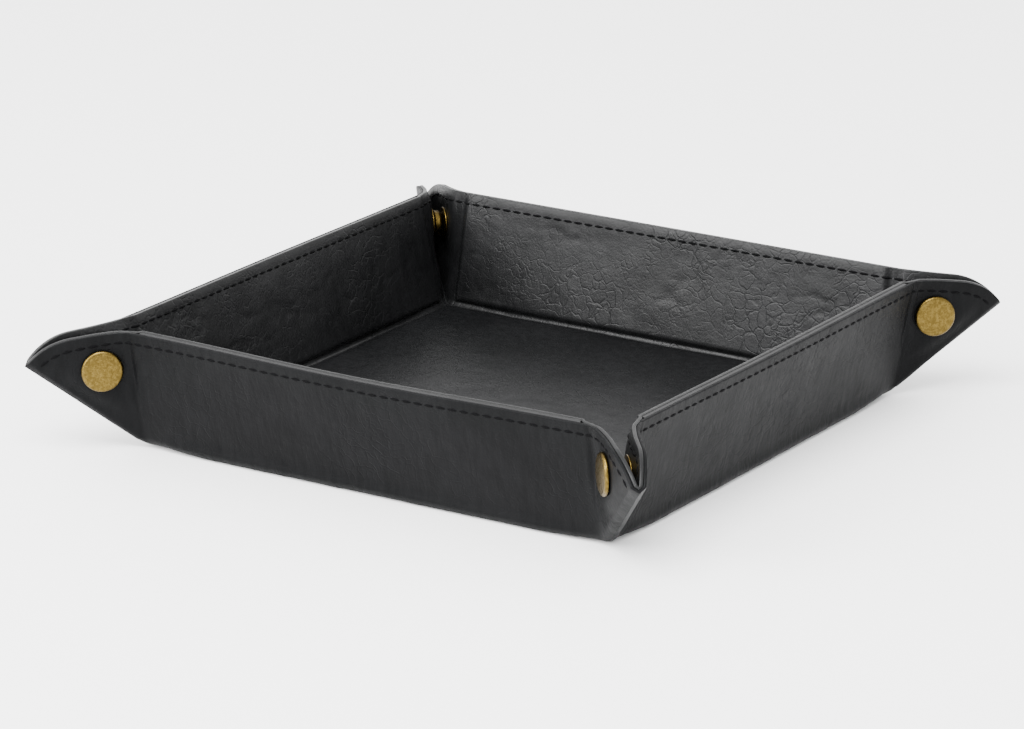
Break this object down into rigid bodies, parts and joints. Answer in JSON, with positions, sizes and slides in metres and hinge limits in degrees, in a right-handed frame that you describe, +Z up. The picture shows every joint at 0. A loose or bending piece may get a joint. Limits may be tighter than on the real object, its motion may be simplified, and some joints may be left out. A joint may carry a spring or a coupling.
{
  "type": "folding dice tray",
  "caption": "Square leather dice tray with stiffened walls that lies flat when its pinched corners are unsnapped.",
  "frame": {"origin": "middle of the base's underside, on the surface that the tray stands on", "axes": "+Z up out of the tray; +X and +Y square to the walls, with the wall that has a snap cap at each end facing -Y"},
  "size_m": [0.212, 0.212, 0.0382],
  "materials": {
    "outer_leather": "wrinkled satin",
    "lining_leather": "wrinkled satin",
    "greyboard": "pressed paperboard",
    "thread": "waxed polyester thread",
    "antique_brass": "antiqued, mottled"
  },
  "bodies": {
    "base": {"base_outer": "outer_leather", "base_lining": "lining_leather", "base_board": "greyboard"},
    "front_wall": {"front_wall_outer": "outer_leather", "front_wall_lining": "lining_leather", "front_wall_board": "greyboard", "front_wall_thread": "thread"},
    "right_wall": {"right_wall_outer": "outer_leather", "right_wall_lining": "lining_leather", "right_wall_board": "greyboard", "right_wall_thread": "thread"},
    "back_wall": {"back_wall_outer": "outer_leather", "back_wall_lining": "lining_leather", "back_wall_board": "greyboard", "back_wall_thread": "thread"},
    "left_wall": {"left_wall_outer": "outer_leather", "left_wall_lining": "lining_leather", "left_wall_board": "greyboard", "left_wall_thread": "thread"},
    "ear_front_right": {"ear_front_right_outer": "outer_leather", "ear_front_right_lining": "lining_leather", "ear_front_right_thread": "thread", "cap_front_right": "antique_brass", "socket_front_right": "antique_brass"},
    "ear_front_left": {"ear_front_left_outer": "outer_leather", "ear_front_left_lining": "lining_leather", "ear_front_left_thread": "thread", "cap_front_left": "antique_brass", "socket_front_left": "antique_brass"},
    "ear_right_front": {"ear_right_front_outer": "outer_leather", "ear_right_front_lining": "lining_leather", "ear_right_front_thread": "thread", "stud_right_front": "antique_brass", "rivet_right_front": "antique_brass"},
    "ear_right_back": {"ear_right_back_outer": "outer_leather", "ear_right_back_lining": "lining_leather", "ear_right_back_thread": "thread", "cap_right_back": "antique_brass", "socket_right_back": "antique_brass"},
    "ear_back_right": {"ear_back_right_outer": "outer_leather", "ear_back_right_lining": "lining_leather", "ear_back_right_thread": "thread", "stud_back_right": "antique_brass", "rivet_back_right": "antique_brass"},
    "ear_back_left": {"ear_back_left_outer": "outer_leather", "ear_back_left_lining": "lining_leather", "ear_back_left_thread": "thread", "stud_back_left": "antique_brass", "rivet_back_left": "antique_brass"},
    "ear_left_back": {"ear_left_back_outer": "outer_leather", "ear_left_back_lining": "lining_leather", "ear_left_back_thread": "thread", "cap_left_back": "antique_brass", "socket_left_back": "antique_brass"},
    "ear_left_front": {"ear_left_front_outer": "outer_leather", "ear_left_front_lining": "lining_leather", "ear_left_front_thread": "thread", "stud_left_front": "antique_brass", "rivet_left_front": "antique_brass"}
  },
  "joints": [
    {"name": "front_wall_fold", "type": "hinge", "parent": "base", "child": "front_wall", "pos_m": [0, -0.08, 0.0022], "axis": [1, 0, 0], "range_deg": [0, 78]},
    {"name": "right_wall_fold", "type": "hinge", "parent": "base", "child": "right_wall", "pos_m": [0.08, 0, 0.0022], "axis": [0, 1, 0], "range_deg": [0, 78]},
    {"name": "back_wall_fold", "type": "hinge", "parent": "base", "child": "back_wall", "pos_m": [0, 0.08, 0.0022], "axis": [-1, 0, 0], "range_deg": [0, 78]},
    {"name": "left_wall_fold", "type": "hinge", "parent": "base", "child": "left_wall", "pos_m": [-0.08, 0, 0.0022], "axis": [0, -1, 0], "range_deg": [0, 78]},
    {"name": "ear_front_right_fold", "type": "hinge", "parent": "front_wall", "child": "ear_front_right", "pos_m": [0.08, -0.08, 0.0022], "axis": [0, -0.2079, 0.9781], "range_deg": [0, 37.09]},
    {"name": "ear_front_left_fold", "type": "hinge", "parent": "front_wall", "child": "ear_front_left", "pos_m": [-0.08, -0.08, 0.0022], "axis": [0, 0.2079, -0.9781], "range_deg": [0, 37.09]},
    {"name": "ear_right_front_fold", "type": "hinge", "parent": "right_wall", "child": "ear_right_front", "pos_m": [0.08, -0.08, 0.0022], "axis": [-0.2079, 0, -0.9781], "range_deg": [0, 37.09]},
    {"name": "ear_right_back_fold", "type": "hinge", "parent": "right_wall", "child": "ear_right_back", "pos_m": [0.08, 0.08, 0.0022], "axis": [0.2079, 0, 0.9781], "range_deg": [0, 37.09]},
    {"name": "ear_back_right_fold", "type": "hinge", "parent": "back_wall", "child": "ear_back_right", "pos_m": [0.08, 0.08, 0.0022], "axis": [0, -0.2079, -0.9781], "range_deg": [0, 37.09]},
    {"name": "ear_back_left_fold", "type": "hinge", "parent": "back_wall", "child": "ear_back_left", "pos_m": [-0.08, 0.08, 0.0022], "axis": [0, 0.2079, 0.9781], "range_deg": [0, 37.09]},
    {"name": "ear_left_back_fold", "type": "hinge", "parent": "left_wall", "child": "ear_left_back", "pos_m": [-0.08, 0.08, 0.0022], "axis": [0.2079, 0, -0.9781], "range_deg": [0, 37.09]},
    {"name": "ear_left_front_fold", "type": "hinge", "parent": "left_wall", "child": "ear_left_front", "pos_m": [-0.08, -0.08, 0.0022], "axis": [-0.2079, 0, 0.9781], "range_deg": [0, 37.09]}
  ],
  "couplings": [
    {"joint": "right_wall_fold", "follows": "front_wall_fold", "ratio": 1},
    {"joint": "back_wall_fold", "follows": "front_wall_fold", "ratio": 1},
    {"joint": "left_wall_fold", "follows": "front_wall_fold", "ratio": 1},
    {"joint": "ear_front_right_fold", "follows": "front_wall_fold", "ratio": 0.47545},
    {"joint": "ear_front_left_fold", "follows": "front_wall_fold", "ratio": 0.47545},
    {"joint": "ear_right_front_fold", "follows": "front_wall_fold", "ratio": 0.47545},
    {"joint": "ear_right_back_fold", "follows": "front_wall_fold", "ratio": 0.47545},
    {"joint": "ear_back_right_fold", "follows": "front_wall_fold", "ratio": 0.47545},
    {"joint": "ear_back_left_fold", "follows": "front_wall_fold", "ratio": 0.47545},
    {"joint": "ear_left_back_fold", "follows": "front_wall_fold", "ratio": 0.47545},
    {"joint": "ear_left_front_fold", "follows": "front_wall_fold", "ratio": 0.47545}
  ]
}
